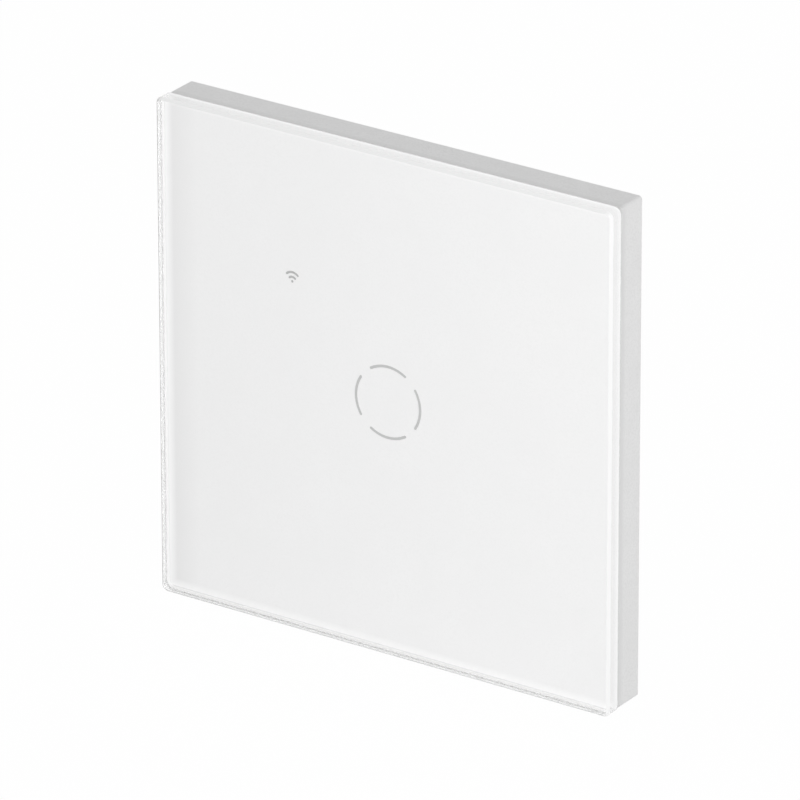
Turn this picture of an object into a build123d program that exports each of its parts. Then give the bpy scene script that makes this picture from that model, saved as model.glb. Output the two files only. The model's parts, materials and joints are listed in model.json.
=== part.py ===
from build123d import *
import os
from math import sqrt

# Touch light switch: a flush wall switch with a glass front, in millimetres.
# X runs to the right seen from the front, Z runs up, and Y runs into the wall. The origin is the
# centre of the wall plane, which is the rear face of the rim. Heights are counted from the wall
# plane towards the room, and depths from the wall plane into the wall box.

# Glass front
panel_side = 86.0
glass_thickness = 2.9
glass_corner_radius = 1.2
glass_front_chamfer = 0.45
glass_back_chamfer = 0.25
glass_overhang = 0.3

# White ink on the back of the glass, with windows for the grey marks
ink_thickness = 0.1
ink_margin = 0.35
ink_corner_radius = 1.0
mark_clearance = 0.02

# Ring mark: four arcs round the touch spot
ring_radius = 6.1
ring_line_width = 0.42
ring_arc_count = 4
ring_arc_span = 64.0

# Signal mark: two arcs over a dot
signal_x = -18.2
signal_z = 16.4
signal_outer_radius = 1.58
signal_inner_radius = 0.78
signal_line_width = 0.34
signal_dot_radius = 0.2
signal_arc_span = 84.0

# Rim of the base: the visible side walls
rim_wall = 1.8
rim_corner_radius = 0.6
rim_front_chamfer = 0.25
seam_gap = 0.2
pry_notch_width = 7.0
pry_notch_depth = 0.9
pry_notch_height = 1.4

# Floor of the base, which lies on the wall
floor_thickness = 2.0
floor_lip = 3.0
floor_opening_corner = 14.0
cavity_corner_radius = 0.8

# Slots for the screws of the wall box
wall_screw_spacing = 60.0
wall_slot_width = 4.0
wall_slot_length = 6.0
wall_recess_width = 7.0
wall_recess_depth = 0.6

# Carrier behind the glass, with its tongues, and the tape that holds the glass on it
carrier_clearance = 0.3
carrier_thickness = 1.1
carrier_corner_radius = 0.8
tape_thickness = 0.4
tape_inset = 0.9
tape_width = 5.0
tongue_width = 8.0
tongue_thickness = 1.2
tongue_reach = 3.7
tongue_offset = 22.0
tongue_slot_clearance = 0.4
tongue_rib_height = 0.25
tongue_rib_radius = 0.5

# Light guide behind the ring, and light pipe behind the signal mark
guide_outer_radius = 8.0
guide_inner_radius = 4.4
guide_depth = 1.5
guide_flange_width = 0.9
guide_clearance = 0.05
light_pipe_radius = 2.6

# Touch board in the base
touch_board_rest = 5.0
touch_board_corner = 5.0
touch_board_thickness = 1.2
touch_board_standoff = 0.4
touch_board_gap = 0.9
pad_radius = 2.0
pad_offset = 12.0

# Parts on the front of the touch board
led_length = 2.0
led_width = 1.25
led_height = 0.6
led_lens_length = 1.2
led_lens_height = 0.25
spring_radius = 3.0
spring_wire = 0.5
spring_turns = 2.0
spring_gap = 0.3

# Parts on the back of the touch board
radio_board_length = 16.0
radio_board_width = 12.0
radio_board_thickness = 0.8
radio_edge_gap = 1.0
shield_length = 11.0
shield_width = 10.0
shield_height = 2.2
shield_fillet = 0.4
shield_shift = 1.6
chip_length = 5.0
chip_width = 4.0
chip_height = 1.5
chip_rise = 0.15
chip_leg_pitch = 1.27
chip_leg_width = 0.4
chip_leg_reach = 0.8
chip_leg_height = 0.3
chip_leg_rows = 4
touch_chip_x = 9.0
touch_chip_z = -3.0
small_part_length = 1.6
small_part_width = 0.8
small_part_height = 0.55
small_part_pitch = 3.0
small_part_columns = 4
small_part_rows = 2
small_part_x = 10.0
small_part_z = 7.0

# Connector between the two boards
pin_count = 6
pin_pitch = 2.54
pin_side = 0.64
pin_hole_radius = 0.5
pin_stub = 0.5
header_width = 2.5
header_height = 1.6
header_edge_gap = 1.75
socket_height = 3.6
socket_hole_side = 0.9
socket_end_clearance = 0.4

# Rear housing that stands in the wall box
housing_corner = 11.0
housing_headroom = 2.6
housing_wall = 1.5
housing_fillet = 1.0
housing_seat_depth = 0.4
housing_seat_clearance = 0.1
step_margin = 1.4
driver_hole_radius = 2.0
wire_window_side = 5.2
vent_count = 6
vent_width = 1.2
vent_length = 12.0
vent_pitch = 3.2
vent_z = 6.0
ledge_x = 6.0
ledge_width = 4.0
ledge_reach = 1.6
ledge_height = 3.0

# Screws that hold the housing to the base
boss_bite = 1.03
boss_radius = 2.5
boss_length = 14.0
housing_screw_radius = 1.0
housing_screw_length = 9.0
housing_screw_head_radius = 2.1
housing_screw_head_height = 0.8
screw_hole_clearance = 0.2
pilot_clearance = 0.05
cross_length = 2.2
cross_width = 0.5
cross_depth = 0.45

# Screws that hold the boards
board_screw_radius = 0.9
board_screw_head_radius = 1.7
board_screw_head_height = 0.6
board_cross_depth = 0.35
touch_screw_length = 2.9
power_screw_length = 6.0
post_radius = 2.2
post_bite = 0.1
left_post_z = -4.6
right_post_z = -7.6

# Power board in the rear housing
power_board_front = 4.0
power_board_thickness = 1.6
power_board_clearance = 0.3

# Terminal block: cages that rise as their captive screws turn
pole_count = 3
pole_pitch = 7.62
block_wall = 1.2
block_rear_wall = 1.0
block_clearance = 0.2
cage_width = 5.4
cage_length = 6.0
cage_side_wall = 0.6
cage_floor = 0.9
cage_roof = 1.2
cage_rise = 0.5
cage_slide_clearance = 0.2
cage_end_clearance = 0.3
cage_travel = 2.6
wire_gap = 2.9
bar_width = 3.0
bar_thickness = 0.9
bar_roof_clearance = 0.4
bar_pin_width = 1.2
bar_pin_length = 2.4
bar_pin_rise = 0.3
pin_hole_clearance = 0.15
shelf_thickness = 0.8
block_roof = 0.6
block_window_side = 4.8
terminal_screw_radius = 1.5
terminal_screw_head_radius = 2.2
terminal_screw_head_height = 1.5
terminal_screw_slot_width = 0.6
terminal_screw_slot_depth = 0.8
thread_clearance = 0.05
head_clearance = 0.1
screw_tip_clearance = 0.2

# Relay
relay_z = 3.9
relay_wall_gap = 2.4
relay_end_gap = 0.5
relay_side_gap = 0.2
relay_headroom = 1.1
relay_wall = 0.7
relay_fillet = 0.5
relay_fit = 0.1
relay_base_thickness = 1.6
yoke_thickness = 1.0
yoke_width = 7.0
yoke_inset = 0.3
bobbin_radius = 4.2
bobbin_flange = 0.7
bobbin_height = 8.8
bobbin_tube_radius = 1.9
bobbin_gap = 0.4
coil_radius = 3.7
coil_clearance = 0.05
core_radius = 1.3
core_clearance = 0.05
pole_radius = 2.6
pole_thickness = 0.6
armature_gap = 0.5
armature_thickness = 1.0
armature_width = 7.0
armature_length = 9.0
yoke_top_clearance = 0.05
leaf_thickness = 0.25
leaf_width = 4.0
leaf_overhang = 1.4
contact_radius = 1.1
contact_height = 0.7
contact_gap = 0.8
contact_place = 13.1
fixed_contact_height = 0.5
blade_thickness = 0.5
blade_width = 4.0
blade_overhang = 1.5
relay_pin_side = 0.8
relay_pin_length = 2.2
relay_pin_z = 3.4

# Transformer
transformer_height = 12.0
transformer_gap = 3.0
transformer_z = 8.0
transformer_lift = 0.4
ferrite_width = 6.0
ferrite_leg = 1.7
ferrite_window = 2.8
ferrite_centre_leg = 4.0
ferrite_yoke = 2.1
bobbin_tube_wall = 0.6
bobbin_fit = 0.1
bobbin_plate = 0.8
bobbin_depth = 11.0
winding_inset = 0.35
winding_corner_radius = 1.2

# Other parts on the power board
input_capacitor_radius = 4.0
input_capacitor_height = 12.0
input_capacitor_gap = 0.3
input_capacitor_wall_gap = 0.9
input_capacitor_z = 5.5
output_capacitor_radius = 3.1
output_capacitor_height = 9.0
output_capacitor_shift = 0.1
output_capacitor_z = -2.4
capacitor_groove = 0.35
capacitor_groove_place = 1.6
capacitor_fillet = 0.5
film_capacitor_length = 13.0
film_capacitor_width = 6.0
film_capacitor_height = 11.0
film_capacitor_gap = 0.6
film_capacitor_z = -3.8
fuse_length = 8.5
fuse_width = 4.0
fuse_height = 8.0
fuse_gap = 1.65
fuse_z = -6.8
body_fillet = 0.5
varistor_radius = 3.5
varistor_thickness = 3.4
varistor_fillet = 1.0
varistor_gap = 2.0
varistor_z = -7.6
varistor_rise = 0.5
varistor_lead_radius = 0.35
varistor_lead_spacing = 4.0
rectifier_block_gap = 0.9
power_chip_x = -9.0
power_chip_z = 13.5

# One overrun serves every cut that runs out of a face
overrun = 1.0

# Heights in front of the wall plane
touch_board_back = floor_thickness + touch_board_standoff
touch_board_face = touch_board_back + touch_board_thickness
carrier_back = touch_board_face + touch_board_gap
carrier_front = carrier_back + carrier_thickness
tongue_tip = carrier_back - tongue_reach
ink_back = carrier_front + tape_thickness
glass_back = ink_back + ink_thickness
rim_depth = ink_back - seam_gap
screw_seat = floor_thickness - housing_screw_head_height - head_clearance
pin_top = touch_board_back - 2 * socket_end_clearance

# Depth of the power board's component side, behind the wall plane
component_side = power_board_front + power_board_thickness

# Levels in the terminal block, counted from the component side
cage_bottom = cage_rise
cage_inner_bottom = cage_bottom + cage_floor
bar_bottom = cage_inner_bottom + wire_gap
bar_top = bar_bottom + bar_thickness
cage_inner_top = bar_top + bar_roof_clearance
cage_top = cage_inner_top + cage_roof
shelf_bottom = cage_top + cage_travel + cage_slide_clearance
shelf_top = shelf_bottom + shelf_thickness
screw_head_bottom = shelf_top + head_clearance
screw_head_top = screw_head_bottom + terminal_screw_head_height
block_height = screw_head_top + block_roof + head_clearance
wire_level = (cage_inner_bottom + bar_bottom) / 2
step_depth = component_side + block_height + block_clearance + housing_wall

# Levels in the relay, counted from the component side
yoke_bottom = relay_base_thickness
bobbin_bottom = yoke_bottom + yoke_thickness
pole_bottom = bobbin_bottom + bobbin_height
pole_top = pole_bottom + pole_thickness
armature_bottom = pole_top + armature_gap
armature_top = armature_bottom + armature_thickness
relay_height = armature_top + relay_headroom + relay_wall
housing_depth = component_side + relay_height + housing_headroom + housing_wall
contact_bottom = armature_top - contact_height
fixed_contact_top = contact_bottom - contact_gap
blade_top = fixed_contact_top - fixed_contact_height

# Sides of the relay, whose parts stand in a row along X
contact_reach = contact_place + contact_radius + blade_overhang
relay_length = 2 * relay_wall + yoke_inset + yoke_thickness / 2 + contact_reach + relay_end_gap
relay_width = 2 * (relay_wall + relay_side_gap + bobbin_radius)

# The relay, the transformer and the input capacitor fill the housing from wall to wall
transformer_length = ferrite_centre_leg + 2 * (ferrite_window + ferrite_leg)
relay_room = relay_wall_gap + relay_length + transformer_gap
capacitor_room = input_capacitor_gap + 2 * input_capacitor_radius + input_capacitor_wall_gap
housing_inner_side = relay_room + transformer_length + capacitor_room
housing_side = housing_inner_side + 2 * housing_wall

# Sides that follow from others
rim_side = panel_side - 2 * glass_overhang
rim_inner_side = rim_side - 2 * rim_wall
carrier_side = rim_inner_side - 2 * carrier_clearance
tongue_face = carrier_side / 2
tongue_slot_depth = carrier_clearance + tongue_thickness + tongue_slot_clearance
housing_inner_corner = housing_corner - housing_wall * (2 - sqrt(2))
housing_seat_side = housing_side + 2 * housing_seat_clearance
housing_seat_corner = housing_corner + housing_seat_clearance * (2 - sqrt(2))
power_board_side = housing_inner_side - 2 * power_board_clearance
power_board_corner = housing_inner_corner - power_board_clearance * (2 - sqrt(2))
floor_opening_side = housing_inner_side - 2 * floor_lip
touch_board_side = floor_opening_side + 2 * touch_board_rest
header_length = pin_count * pin_pitch

# Places of the screws and posts
post_x = housing_inner_side / 2 - post_radius + post_bite
post_places = [(-post_x, left_post_z), (post_x, right_post_z)]
boss_place = (housing_inner_side - housing_inner_corner) / 2 - (boss_radius - boss_bite) / sqrt(2)
corner_places = [(right * boss_place, up * boss_place) for right in (-1, 1) for up in (-1, 1)]
pad_x = (floor_opening_side + touch_board_side) / 4
pad_places = [(right * pad_x, up * pad_offset) for right in (-1, 1) for up in (-1, 1)]
wall_slot_places = [(-wall_screw_spacing / 2, 0), (wall_screw_spacing / 2, 0)]
radio_board_x = radio_edge_gap + (radio_board_length - floor_opening_side) / 2
header_z = (floor_opening_side - header_width) / 2 - header_edge_gap

# Places in the terminal block, where the wires come in from below
block_bottom_z = block_clearance - housing_inner_side / 2
cavity_bottom_z = block_bottom_z + block_wall
cage_z = cavity_bottom_z + cage_end_clearance + cage_length / 2
bar_pin_z = cage_z + cage_length / 2 + cage_end_clearance + bar_thickness / 2
cavity_top_z = bar_pin_z + bar_thickness / 2 + cage_slide_clearance
block_top_z = cavity_top_z + block_rear_wall
step_z = block_top_z + step_margin
cavity_width = cage_width + 2 * cage_slide_clearance
block_width = (pole_count - 1) * pole_pitch + cavity_width + 2 * block_wall
pole_places = [(index - (pole_count - 1) / 2) * pole_pitch for index in range(pole_count)]
pole_names = ["line", "neutral", "load"]

# Places of the larger parts on the power board, along X
relay_x = relay_wall_gap + (relay_length - housing_inner_side) / 2
transformer_x = relay_x + relay_length / 2 + transformer_gap + transformer_length / 2
input_capacitor_x = housing_inner_side / 2 - input_capacitor_wall_gap - input_capacitor_radius
output_capacitor_x = input_capacitor_x + output_capacitor_shift
film_capacitor_right = output_capacitor_x - output_capacitor_radius - film_capacitor_gap
film_capacitor_x = film_capacitor_right - film_capacitor_length / 2
varistor_x = film_capacitor_x - film_capacitor_length / 2 - varistor_gap - varistor_radius
fuse_x = varistor_x - varistor_radius - fuse_gap - fuse_length / 2
rectifier_x = film_capacitor_x
rectifier_z = block_top_z + rectifier_block_gap + chip_width / 2

# Places in the relay, along X from the inside of its case
relay_left = relay_x - relay_length / 2 + relay_wall
yoke_left = relay_left + yoke_inset
pivot_x = yoke_left + yoke_thickness / 2
coil_x = yoke_left + yoke_thickness + bobbin_gap + bobbin_radius
yoke_right = coil_x + bobbin_radius
contact_x = pivot_x + contact_place
blade_right = contact_x + contact_radius + blade_overhang
relay_pin_places = [
    (pivot_x, relay_z - relay_pin_z),
    (pivot_x, relay_z + relay_pin_z),
    (coil_x, relay_z - relay_pin_z),
    (coil_x, relay_z + relay_pin_z),
]
blade_pin_x = blade_right - blade_thickness / 2

os.makedirs("parts", exist_ok=True)


def wall_plane(height):
    """A plane parallel to the wall at this height in front of it, facing the room."""
    return Plane.XZ.offset(height)


def board_plane(level):
    """A plane parallel to the power board at this level above its parts' side, facing the room."""
    return Plane.XZ.offset(-component_side - level)


def level_plane(z):
    """A level plane at this Z, with X across and the level above the power board as its Y."""
    return Plane((0, component_side, z))


def upright_plane(x):
    """An upright plane at this X, with the level above the power board as its X and Z as its Y."""
    return Plane((x, component_side, 0), x_dir=(0, 1, 0), z_dir=(1, 0, 0))


def cut_corner_outline(side, corner):
    """A square outline with its corners cut off at 45 degrees."""
    half = side / 2
    near = half - corner
    Polygon(
        (half, near),
        (near, half),
        (-near, half),
        (-half, near),
        (-half, -near),
        (-near, -half),
        (near, -half),
        (half, -near),
        align=None,
    )


def arc_stroke(radius, middle_angle, span, width):
    """A round-ended stroke along an arc about the current location."""
    start = middle_angle - span / 2
    arc = Edge.make_circle(radius, start_angle=start, end_angle=start + span)
    SlotArc(arc, width)


def ring_strokes(grow):
    """The four arcs round the touch spot, grown all round by a clearance."""
    for index in range(ring_arc_count):
        turn = index * 360 / ring_arc_count
        arc_stroke(ring_radius, turn, ring_arc_span, ring_line_width + 2 * grow)


def signal_strokes(grow):
    """Two arcs over a dot, grown all round by a clearance."""
    with Locations((signal_x, signal_z)):
        Circle(signal_dot_radius + grow)
        arc_stroke(signal_inner_radius, 90, signal_arc_span, signal_line_width + 2 * grow)
        arc_stroke(signal_outer_radius, 90, signal_arc_span, signal_line_width + 2 * grow)


def cross_recess(places, head_height, depth):
    """Cross recesses in screw heads whose tops lie at this height."""
    with BuildSketch(wall_plane(head_height)) as recess:
        with Locations(*places):
            Rectangle(cross_length, cross_width)
            Rectangle(cross_width, cross_length)
    extrude(recess.sketch, amount=-depth, mode=Mode.SUBTRACT)


def plain_screws(places, seat, head_radius, head_height, shank_radius, shank_length):
    """Screws with flat round heads on a seat at this height, driven into the wall."""
    with BuildSketch(wall_plane(seat)) as heads:
        with Locations(*places):
            Circle(head_radius)
    extrude(heads.sketch, amount=head_height)
    with BuildSketch(wall_plane(seat)) as shanks:
        with Locations(*places):
            Circle(shank_radius)
    extrude(shanks.sketch, amount=-shank_length)


def chip_with_legs(plane, place):
    """A small chip body with legs on both sides, standing towards the back of its plane."""
    leg_span = chip_length + 2 * chip_leg_reach
    with BuildSketch(plane.offset(-chip_rise)) as body:
        with Locations(place):
            Rectangle(chip_length, chip_width + chip_leg_width)
    extrude(body.sketch, amount=-chip_height)
    with BuildSketch(plane) as legs:
        with Locations(place):
            with GridLocations(chip_leg_pitch, chip_leg_pitch, 1, chip_leg_rows):
                Rectangle(leg_span, chip_leg_width)
    extrude(legs.sketch, amount=-chip_leg_height)


def finish(builder, name):
    """Names a finished piece and writes it to its own file."""
    builder.part.label = name
    export_step(builder.part, f"parts/{name}.step")


# Glass panel
with BuildPart() as glass_panel:
    with BuildSketch(wall_plane(glass_back)):
        RectangleRounded(panel_side, panel_side, glass_corner_radius)
    extrude(amount=glass_thickness)
    chamfer(faces().sort_by(Axis.Y)[0].edges(), glass_front_chamfer)
    chamfer(faces().sort_by(Axis.Y)[-1].edges(), glass_back_chamfer)
finish(glass_panel, "glass_panel")

# White ink layer on the back of the glass
with BuildPart() as back_ink:
    with BuildSketch(wall_plane(ink_back)):
        ink_side = panel_side - 2 * ink_margin
        RectangleRounded(ink_side, ink_side, ink_corner_radius)
    extrude(amount=ink_thickness)
    with BuildSketch(wall_plane(ink_back)):
        ring_strokes(mark_clearance)
        signal_strokes(mark_clearance)
    extrude(amount=ink_thickness, mode=Mode.SUBTRACT)
finish(back_ink, "back_ink")

# Grey translucent ink in the windows
with BuildPart() as ring_mark:
    with BuildSketch(wall_plane(ink_back)):
        ring_strokes(0)
    extrude(amount=ink_thickness)
finish(ring_mark, "ring_mark")

with BuildPart() as signal_mark:
    with BuildSketch(wall_plane(ink_back)):
        signal_strokes(0)
    extrude(amount=ink_thickness)
finish(signal_mark, "signal_mark")

# Double-sided tape between the ink and the carrier
with BuildPart() as panel_tape:
    with BuildSketch(wall_plane(carrier_front)):
        tape_side = carrier_side - 2 * tape_inset
        Rectangle(tape_side, tape_side)
        tape_inner_side = tape_side - 2 * tape_width
        Rectangle(tape_inner_side, tape_inner_side, mode=Mode.SUBTRACT)
    extrude(amount=tape_thickness)
finish(panel_tape, "panel_tape")

# Two tongues on the upper side of the carrier, each with a rib that grips the rim
with BuildPart() as tongue_pair:
    for side in (-1, 1):
        with BuildSketch(Plane.YZ.offset(side * tongue_offset)):
            with Locations((tongue_reach / 2 - carrier_back, tongue_face - tongue_thickness / 2)):
                Rectangle(tongue_reach, tongue_thickness)
            rib_centre = tongue_face + tongue_rib_height - tongue_rib_radius
            with Locations((-tongue_tip - 2 * tongue_rib_radius, rib_centre)):
                Circle(tongue_rib_radius)
        extrude(amount=tongue_width / 2, both=True)

# Carrier with its tongues on all four sides
with BuildPart() as panel_carrier:
    with BuildSketch(wall_plane(carrier_back)):
        RectangleRounded(carrier_side, carrier_side, carrier_corner_radius)
        Circle(guide_outer_radius + guide_clearance, mode=Mode.SUBTRACT)
        with Locations((signal_x, signal_z)):
            Circle(light_pipe_radius + guide_clearance, mode=Mode.SUBTRACT)
    extrude(amount=carrier_thickness)
    for turn in (0, 90, 180, 270):
        add(tongue_pair.part, rotation=(0, turn, 0))
finish(panel_carrier, "panel_carrier")

# Light guide behind the ring, whose flange is held between the carrier and the ink
with BuildPart() as ring_light_guide:
    with BuildSketch(wall_plane(ink_back)):
        Circle(guide_outer_radius)
        Circle(guide_inner_radius, mode=Mode.SUBTRACT)
    extrude(amount=-guide_depth)
    with BuildSketch(wall_plane(ink_back)):
        Circle(guide_outer_radius + guide_flange_width)
        Circle(guide_inner_radius, mode=Mode.SUBTRACT)
    extrude(amount=-tape_thickness)
finish(ring_light_guide, "ring_light_guide")

with BuildPart() as signal_light_pipe:
    with BuildSketch(wall_plane(ink_back)):
        with Locations((signal_x, signal_z)):
            Circle(light_pipe_radius)
    extrude(amount=-guide_depth)
    with BuildSketch(wall_plane(ink_back)):
        with Locations((signal_x, signal_z)):
            Circle(light_pipe_radius + guide_flange_width)
    extrude(amount=-tape_thickness)
finish(signal_light_pipe, "signal_light_pipe")

# Base frame: the rim, its floor on the wall, and the seats of the boards and screws
with BuildPart() as base_frame:
    with BuildSketch(wall_plane(0)):
        RectangleRounded(rim_side, rim_side, rim_corner_radius)
    extrude(amount=rim_depth)
    chamfer(faces().sort_by(Axis.Y)[0].edges(), rim_front_chamfer)
    with BuildSketch(wall_plane(floor_thickness)):
        RectangleRounded(rim_inner_side, rim_inner_side, cavity_corner_radius)
    extrude(amount=rim_depth, mode=Mode.SUBTRACT)
    # Notch in the lower wall for a tool that lifts the panel
    with BuildSketch(wall_plane(rim_depth)):
        with Locations((0, (pry_notch_depth - rim_side) / 2)):
            Rectangle(pry_notch_width, pry_notch_depth)
    extrude(amount=-pry_notch_height, mode=Mode.SUBTRACT)
    # Opening towards the rear housing, and slots for the tongues
    with BuildSketch(wall_plane(0)):
        cut_corner_outline(floor_opening_side, floor_opening_corner)
        with PolarLocations(0, 4):
            for side in (-1, 1):
                with Locations((side * tongue_offset, (rim_inner_side - tongue_slot_depth) / 2)):
                    Rectangle(tongue_width + 2 * tongue_slot_clearance, tongue_slot_depth)
    extrude(amount=floor_thickness, mode=Mode.SUBTRACT)
    # Shallow seat round the opening, which locates the rear housing
    with BuildSketch(wall_plane(0)):
        cut_corner_outline(housing_seat_side, housing_seat_corner)
    extrude(amount=housing_seat_depth, mode=Mode.SUBTRACT)
    # Slots for the wall screws, with shallow recesses for their heads
    with BuildSketch(wall_plane(0)):
        with Locations(*wall_slot_places):
            SlotOverall(wall_slot_length, wall_slot_width)
    extrude(amount=floor_thickness, mode=Mode.SUBTRACT)
    with BuildSketch(wall_plane(floor_thickness)):
        with Locations(*wall_slot_places):
            SlotOverall(wall_slot_length + wall_recess_width - wall_slot_width, wall_recess_width)
    extrude(amount=-wall_recess_depth, mode=Mode.SUBTRACT)
    # Sunk seats for the housing screws
    with BuildSketch(wall_plane(floor_thickness)):
        with Locations(*corner_places):
            Circle(housing_screw_head_radius + screw_hole_clearance)
    extrude(amount=screw_seat - floor_thickness, mode=Mode.SUBTRACT)
    with BuildSketch(wall_plane(0)):
        with Locations(*corner_places):
            Circle(housing_screw_radius + screw_hole_clearance)
    extrude(amount=floor_thickness, mode=Mode.SUBTRACT)
    # Pads under the touch board, with pilot holes
    with BuildSketch(wall_plane(floor_thickness)):
        with Locations(*pad_places):
            Circle(pad_radius)
    extrude(amount=touch_board_standoff)
    with BuildSketch(wall_plane(touch_board_back)):
        with Locations(*pad_places):
            Circle(board_screw_radius + pilot_clearance)
    extrude(amount=touch_board_thickness - touch_screw_length, mode=Mode.SUBTRACT)
finish(base_frame, "base_frame")

# Touch board
with BuildPart() as touch_board:
    with BuildSketch(wall_plane(touch_board_back)):
        cut_corner_outline(touch_board_side, touch_board_corner)
        with Locations(*pad_places):
            Circle(board_screw_radius + screw_hole_clearance, mode=Mode.SUBTRACT)
    extrude(amount=touch_board_thickness)
finish(touch_board, "touch_board")

with BuildPart() as touch_board_screws:
    plain_screws(
        pad_places,
        touch_board_face,
        board_screw_head_radius,
        board_screw_head_height,
        board_screw_radius,
        touch_screw_length,
    )
    cross_recess(pad_places, touch_board_face + board_screw_head_height, board_cross_depth)
finish(touch_board_screws, "touch_board_screws")

# Touch spring between the board and the ink
spring_height = ink_back - spring_gap - touch_board_face
spring_climb = spring_height - spring_wire
with BuildPart() as touch_spring:
    spring_start = (0, -touch_board_face - spring_wire / 2, 0)
    with BuildLine() as spring_line:
        Helix(
            spring_climb / spring_turns,
            spring_climb,
            spring_radius,
            center=spring_start,
            direction=(0, -1, 0),
        )
    with BuildSketch(Plane(spring_line.line @ 0, z_dir=spring_line.line % 0)):
        Circle(spring_wire / 2)
    sweep(path=spring_line.line, is_frenet=True)
finish(touch_spring, "touch_spring")

# Lamps behind the ring and behind the signal mark
with BuildPart() as ring_leds:
    with BuildSketch(wall_plane(touch_board_face)):
        with PolarLocations(ring_radius, ring_arc_count):
            Rectangle(led_width, led_length)
    extrude(amount=led_height - led_lens_height)
    with BuildSketch(wall_plane(touch_board_face)):
        with PolarLocations(ring_radius, ring_arc_count):
            Rectangle(led_width, led_lens_length)
    extrude(amount=led_height)
finish(ring_leds, "ring_leds")

with BuildPart() as signal_led:
    with BuildSketch(wall_plane(touch_board_face)):
        with Locations((signal_x, signal_z)):
            Rectangle(led_length, led_width)
    extrude(amount=led_height - led_lens_height)
    with BuildSketch(wall_plane(touch_board_face)):
        with Locations((signal_x, signal_z)):
            Rectangle(led_lens_length, led_width)
    extrude(amount=led_height)
finish(signal_led, "signal_led")

# Touch chip and small parts on the back of the touch board
with BuildPart() as touch_chip:
    chip_with_legs(wall_plane(touch_board_back), (touch_chip_x, touch_chip_z))
finish(touch_chip, "touch_chip")

with BuildPart() as small_board_parts:
    with BuildSketch(wall_plane(touch_board_back)):
        with Locations((small_part_x, small_part_z)):
            with GridLocations(
                small_part_pitch, small_part_pitch, small_part_columns, small_part_rows
            ):
                Rectangle(small_part_length, small_part_width)
    extrude(amount=-small_part_height)
finish(small_board_parts, "small_board_parts")

# Radio board under its shield
with BuildPart() as radio_board:
    with BuildSketch(wall_plane(touch_board_back)):
        with Locations((radio_board_x, 0)):
            Rectangle(radio_board_length, radio_board_width)
    extrude(amount=-radio_board_thickness)
finish(radio_board, "radio_board")

with BuildPart() as radio_shield:
    with BuildSketch(wall_plane(touch_board_back - radio_board_thickness)):
        with Locations((radio_board_x + shield_shift, 0)):
            Rectangle(shield_length, shield_width)
    extrude(amount=-shield_height)
    fillet(faces().sort_by(Axis.Y)[-1].edges(), shield_fillet)
finish(radio_shield, "radio_shield")

# Socket on the touch board, and the pin header of the power board that plugs into it
with BuildPart() as board_socket:
    with BuildSketch(wall_plane(touch_board_back)):
        with Locations((0, header_z)):
            Rectangle(header_length, header_width)
    extrude(amount=-socket_height)
    with BuildSketch(wall_plane(touch_board_back - socket_end_clearance)):
        with Locations((0, header_z)):
            with GridLocations(pin_pitch, pin_pitch, pin_count, 1):
                Rectangle(socket_hole_side, socket_hole_side)
    extrude(amount=-socket_height, mode=Mode.SUBTRACT)
finish(board_socket, "board_socket")

with BuildPart() as header_body:
    with BuildSketch(wall_plane(-power_board_front)):
        with Locations((0, header_z)):
            Rectangle(header_length, header_width)
            with GridLocations(pin_pitch, pin_pitch, pin_count, 1):
                Rectangle(pin_side, pin_side, mode=Mode.SUBTRACT)
    extrude(amount=header_height)
finish(header_body, "header_body")

with BuildPart() as header_pins:
    with BuildSketch(board_plane(pin_stub)):
        with Locations((0, header_z)):
            with GridLocations(pin_pitch, pin_pitch, pin_count, 1):
                Rectangle(pin_side, pin_side)
    extrude(amount=pin_stub + component_side + pin_top)
finish(header_pins, "header_pins")

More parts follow.
